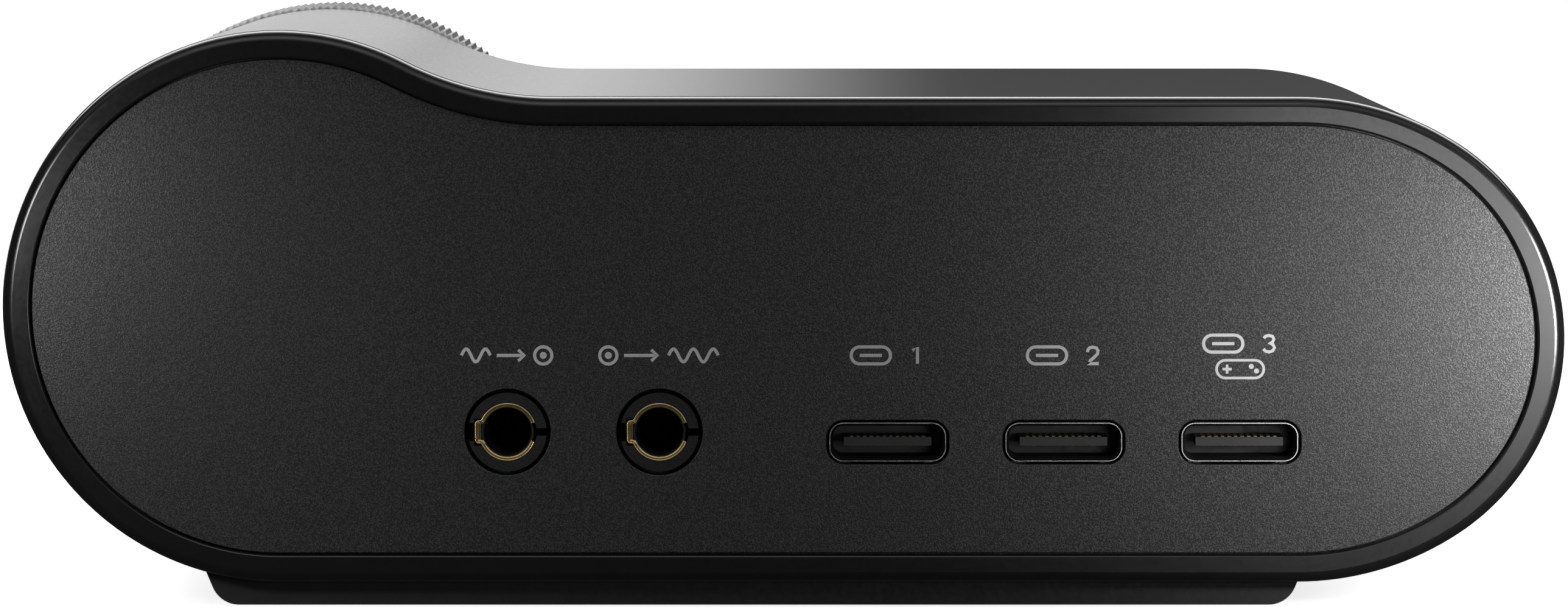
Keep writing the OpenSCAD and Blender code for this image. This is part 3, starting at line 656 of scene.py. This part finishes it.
def dial_cap(materials):
    """The dial's face: a shallow dish with fine turned rings, rising to a rounded lip near its edge."""
    r, front, back = (FACE_HIGH.x - FACE_LOW.x) / 2, FACE_LOW.y, FACE_HIGH.y
    section = [(0.0, front + 0.42)]
    for i in range(1, 61):
        share = i / 60
        ripple = 0.012 * (i % 2)
        section.append((share * (r - 0.45), front + 0.42 - 0.3 * share ** 2 + ripple))
    section += [(r - 0.35, front + 0.05), (r - 0.2, front), (r - 0.08, front + 0.03), (r, front + 0.12)]
    section += [(r, back), (0.0, back)]
    verts, faces = disc_lathe(DIAL_X, DIAL_Z, section, 160)
    piece("dial_cap", verts, faces, materials["dial_face"], body="dial", node="dial_face",
          angle=20)


def button_cap(materials):
    """The menu button, slightly hollow, with its flange and stem behind the fascia."""
    x, z = middle_x((BUTTON_LOW, BUTTON_HIGH)), middle_z((BUTTON_LOW, BUTTON_HIGH))
    front, back = BUTTON_LOW.y, BUTTON_HIGH.y
    flange = FASCIA_FACE_Y + PANEL_T
    section = [(0.0, front + 0.16), (0.9, front + 0.13), (1.6, front + 0.07), (2.15, front + 0.02)]
    section += [(2.5 + 0.3 * math.sin(a), front + 0.3 * (1 - math.cos(a)))
                for a in (math.pi / 2 * i / 6 for i in range(7))]
    section += [(2.8, flange), (3.55, flange), (3.6, flange + 0.05), (3.6, flange + 0.8), (1.3, flange + 0.8),
                (1.3, back - 0.1), (1.2, back), (0.0, back)]
    verts, faces = disc_lathe(x, z, section, 72)
    piece("button_cap", verts, faces, materials["button_plastic"], body="menu_key", node="menu_button")


def foot_skin(materials):
    """The foot pad: leaning sides, round corners below, and rounded ends."""
    corner = FOOT_CORNER_R
    flat_in = corner * math.tan((math.pi / 2 - FOOT_TILT) / 2)
    path = arc(FOOT_LEFT + flat_in, corner, corner, math.pi + FOOT_TILT, 1.5 * math.pi, 6)
    path += arc(FOOT_RIGHT - flat_in, corner, corner, 1.5 * math.pi, TAU - FOOT_TILT, 6)
    lean = math.tan(FOOT_TILT)
    right_z, left_z = 2.62, FOOT_H + 0.02
    path.append((FOOT_RIGHT + right_z * lean, right_z))
    under = [(x, z) for x, z in outline(0.0) if z < right_z + 1.2 and FOOT_LEFT - 0.5 < x < FOOT_RIGHT + 1.0]
    path += sorted(under, key=lambda p: -p[0])
    path.append((FOOT_LEFT - left_z * lean, left_z))
    verts, faces = [], []
    count = len(path)
    for y in (FOOT_LOW.y, FOOT_HIGH.y):
        verts += [(x, y, z) for x, z in path]
    faces += [(i, (i + 1) % count, count + (i + 1) % count, count + i) for i in range(count)]
    flat = [[Vector((x, z, 0)) for x, z in path]]
    for base in (0, count):
        faces += [tuple(base + i for i in tri) for tri in tessellate_polygon(flat)]
    obj = piece("foot_skin", verts, faces, materials["foot_rubber"], node="foot_pad",
                weighted=False)
    bevel(obj, 0.35, 4, 40)


def jack_ring(name, corners, materials):
    """A jack's gold sleeve, a black liner behind its mouth that is painted shade for the inside of the
    sleeve, and the contact that shows in its step.
    The sleeve is a thin split ring with a rounded mouth and a bead inside, stepped outwards on one
    side."""
    x = middle_x(corners)
    r, t, depth = 2.12, 0.23, 3.95
    out = r + 0.285
    gap, step = math.radians(19.7), math.radians(23)
    upper = arc(x, JACK_Z, r, math.pi - gap, step, 5)
    lower = arc(x, JACK_Z, r, -step, -(math.pi - gap), 5)
    jog = [(x + r, JACK_Z + 0.8), (x + out, JACK_Z + 0.76), (x + out, JACK_Z + 0.3),
           (x + out, JACK_Z - 0.3), (x + out, JACK_Z - 0.76), (x + r, JACK_Z - 0.8)]
    path = upper + soften(jog, 2) + lower
    half = t / 2
    mouth = REAR_FACE_Y
    lip = [(half, mouth - 0.07), (half - 0.03, mouth - 0.015), (half - 0.08, mouth), (0.0, mouth - 0.02)]
    bead = [(-half + 0.02, mouth - 0.16), (-half - 0.03, mouth - 0.2), (-half - 0.09, mouth - 0.22),
            (-half - 0.12, mouth - 0.27), (-half - 0.09, mouth - 0.32), (-half, mouth - 0.35)]
    section = [(half, mouth - depth)] + lip + bead + [(-half, mouth - depth)]
    verts, faces = strip(path, section)
    piece(f"{name}_ring", verts, faces, materials["gold_plate"], node=f"{name}_sleeve",
          angle=50)
    # the throat: a black liner laid over the gold sleeve's inner wall, painted shade that keeps the inside of
    # the jack dark
    inner = JACK_BORE_R + 0.01
    throat = [(1.99, mouth - 0.37), (1.87, mouth - 0.38), (inner, mouth - 0.44), (inner, mouth - depth),
              (1.99, mouth - depth)]
    verts, faces = lathe(x, JACK_Z, throat, 96)
    piece(f"{name}_throat", verts, faces, materials["black_moulding"])
    verts, faces = block((x + 2.0, mouth - 2.5, JACK_Z - 0.62), (x + 2.27, mouth - 0.5, JACK_Z + 0.62))
    # its gold is darkened as painted shade for the inside of the jack
    face = piece(f"{name}_face_contact", verts, faces, materials["shade_darkened_contacts"])
    bevel(face, 0.06, 3)


def usb_skin(i, materials):
    """A socket's drawn steel shell, with a thin rolled lip, a raised seam under the mouth and four legs,
    and the dark throat inside it, with its lead-in."""
    x = middle_x(USBS[i])
    mouth, back = USBS[i][1].y, USBS[i][0].y
    steps = 10

    def loop(inset, y, seam=0.0):
        w, h, r = USB_W - 2 * inset, USB_H - 2 * inset, max(0.2, USB_R - inset)
        out = [(px, y, pz) for px, pz in rounded_rect(x, USB_Z, w, h, r, steps)]
        seam_start = 3 * (steps + 1)
        low_z = out[seam_start - 1][2]
        ridge = [(-0.12, 0), (-0.05, 0), (-0.02, 1), (0.02, 1), (0.05, 0), (0.12, 0)]
        return out[:seam_start] + [(x + dx, y + seam * rise, low_z) for dx, rise in ridge] + out[seam_start:]

    seam = 0.04
    rings = [loop(0.17, back + 0.25), loop(0.17, mouth - 0.3), loop(0.15, mouth - 0.07, seam),
             loop(0.11, mouth, seam), loop(0.05, mouth, seam), loop(0.015, mouth - 0.02, seam),
             loop(0.0, mouth - 0.07, seam), loop(0.0, mouth - 0.2), loop(0.0, back)]
    verts, faces = rings_to_mesh(rings, False)
    count = len(rings[0])
    faces.append(tuple(range(count)))
    faces.append(tuple(len(verts) - count + k for k in range(count)))
    legs = []
    for side in (-1, 1):
        for y in (back + 0.5, mouth - 4.4):
            legs.append(block((x + side * 3.3 - 0.5, y, 10.4), (x + side * 3.3 + 0.5, y + 1.2, 11.2)))
    verts, faces = merge([(verts, faces)] + legs)
    piece(f"usb_skin_{i}", verts, faces, materials["plated_steel"], node=f"usb_shell_{i}",
          angle=50)
    throat = [loop(0.175, mouth - 0.12), loop(0.24, mouth - 0.35), loop(0.31, mouth - 0.8),
              loop(0.33, mouth - 1.1), loop(0.33, back + 0.3), loop(0.175, back + 0.3)]
    verts, faces = rings_to_mesh(throat, True)
    piece(f"usb_throat_{i}", verts, faces, materials["black_moulding"])


# ---------------------------------------------------------------- printed marks

def mark(name, strokes, cx, cz, materials, width=0.24):
    """Strokes of light ink on the rear panel. Each is a path in mm, from the mark's middle, as read
    from behind the object, so to the right is -X."""
    low, high = REAR_FACE_Y - 0.01, REAR_FACE_Y + 0.02
    half = width / 2
    section = [(half, low), (half, high), (-half, high), (-half, low)]
    parts = []
    for path, closed in strokes:
        flat = [(cx - u, cz + v) for u, v in path]
        parts.append(strip(flat, section, closed))
    verts, faces = merge(parts)
    piece(name, verts, faces, materials["ink"], weighted=False)


def ring_stroke(u, v, r, count=28):
    return [(u + r * math.cos(TAU * i / count), v + r * math.sin(TAU * i / count)) for i in range(count)]


def wave_stroke(u0, u1, height, turns):
    count = int(18 * turns)
    shares = [i / count for i in range(count + 1)]
    return [(u0 + (u1 - u0) * share, height * math.sin(TAU * turns * share)) for share in shares]


def arrow_strokes(u0, u1, head=0.42):
    shaft = [(u0, 0), (u1 - 0.13, 0)]
    point = [(u1 - head, head), (u1 + 0.06, 0), (u1 - head, -head)]
    return [(shaft, False), (point, False)]


def stadium(w, h):
    return rounded_rect(0, 0, w, h, h / 2 - 0.01, 8)


DIGITS = {
    1: [([(-0.32, 0.38), (0.06, 0.63), (0.06, -0.63)], False)],
    2: [([(-0.4, 0.25), (-0.38, 0.42), (-0.25, 0.58), (0.0, 0.63), (0.27, 0.57), (0.4, 0.36), (0.36, 0.12),
          (0.1, -0.15), (-0.2, -0.4), (-0.42, -0.63), (0.45, -0.63)], False)],
    3: [([(-0.4, 0.42), (-0.25, 0.58), (0.0, 0.63), (0.27, 0.55), (0.37, 0.34), (0.27, 0.12), (0.0, 0.03),
          (0.3, -0.06), (0.42, -0.3), (0.3, -0.54), (0.0, -0.64), (-0.28, -0.57), (-0.43, -0.4)], False)],
}


def shifted(strokes, du, dv=0.0):
    return [([(u + du, v + dv) for u, v in path], closed) for path, closed in strokes]


def port_icon(digit):
    """A socket's outline with its tongue, and the socket's number."""
    icon = [(stadium(3.0, 1.3), True), ([(-0.85, 0), (0.85, 0)], False)]
    return shifted(icon, -1.3) + shifted(DIGITS[digit], 2.2)


def printed_marks(materials):
    in_x, out_x = middle_x(JACKS["line_in"]), middle_x(JACKS["line_out"])
    strokes = [(wave_stroke(-3.5, -1.3, 0.5, 1.5), False)] + arrow_strokes(-0.8, 1.25)
    strokes += [(ring_stroke(2.75, 0, 0.66), True), (ring_stroke(2.75, 0, 0.15, 14), True)]
    mark("mark_line_in", strokes, in_x, MARK_Z, materials)
    strokes = [(ring_stroke(-3.9, 0, 0.66), True), (ring_stroke(-3.9, 0, 0.15, 14), True)]
    strokes += arrow_strokes(-2.7, -0.2) + [(wave_stroke(0.7, 4.5, 0.5, 2.5), False)]
    mark("mark_line_out", strokes, out_x, MARK_Z, materials)
    for i in (1, 2):
        mark(f"mark_usb_{i}", port_icon(i), middle_x(USBS[i]), MARK_Z, materials)
    x = middle_x(USBS[3])
    mark("mark_usb_3", port_icon(3), x, MARK_Z + 0.9, materials)
    pad = [(stadium(3.6, 1.36), True), ([(-1.35, 0), (-0.65, 0)], False)]
    pad += [([(-1.0, 0.1), (-1.0, 0.35)], False), ([(-1.0, -0.1), (-1.0, -0.35)], False)]
    pad += [(ring_stroke(0.85, 0.2, 0.1, 10), True), (ring_stroke(1.25, -0.14, 0.1, 10), True)]
    mark("mark_games", pad, x, MARK_Z - 1.05, materials, 0.2)


def soft_edges():
    """Rounds the edges of the CAD parts that show: the jacks and the tongues."""
    for name in ("line_in_jack", "line_out_jack", "usb_tongue_1", "usb_tongue_2", "usb_tongue_3"):
        obj = bpy.data.objects[name]
        bevel(obj, 0.07 if "jack" in name else 0.08, 3)


make_camera()
make_floor()
make_lights()
materials = make_materials()
dress_cad_nodes(materials)
for make_piece in (sleeve_skin, panel_plate, fascia_plate, lens_plate, foot_skin, dial_knurl, dial_cap,
                   button_cap):
    make_piece(materials)
for jack, corners in JACKS.items():
    jack_ring(jack, corners, materials)
for number in USBS:
    usb_skin(number, materials)
printed_marks(materials)
soft_edges()
bpy.context.scene.view_settings.view_transform = "Standard"
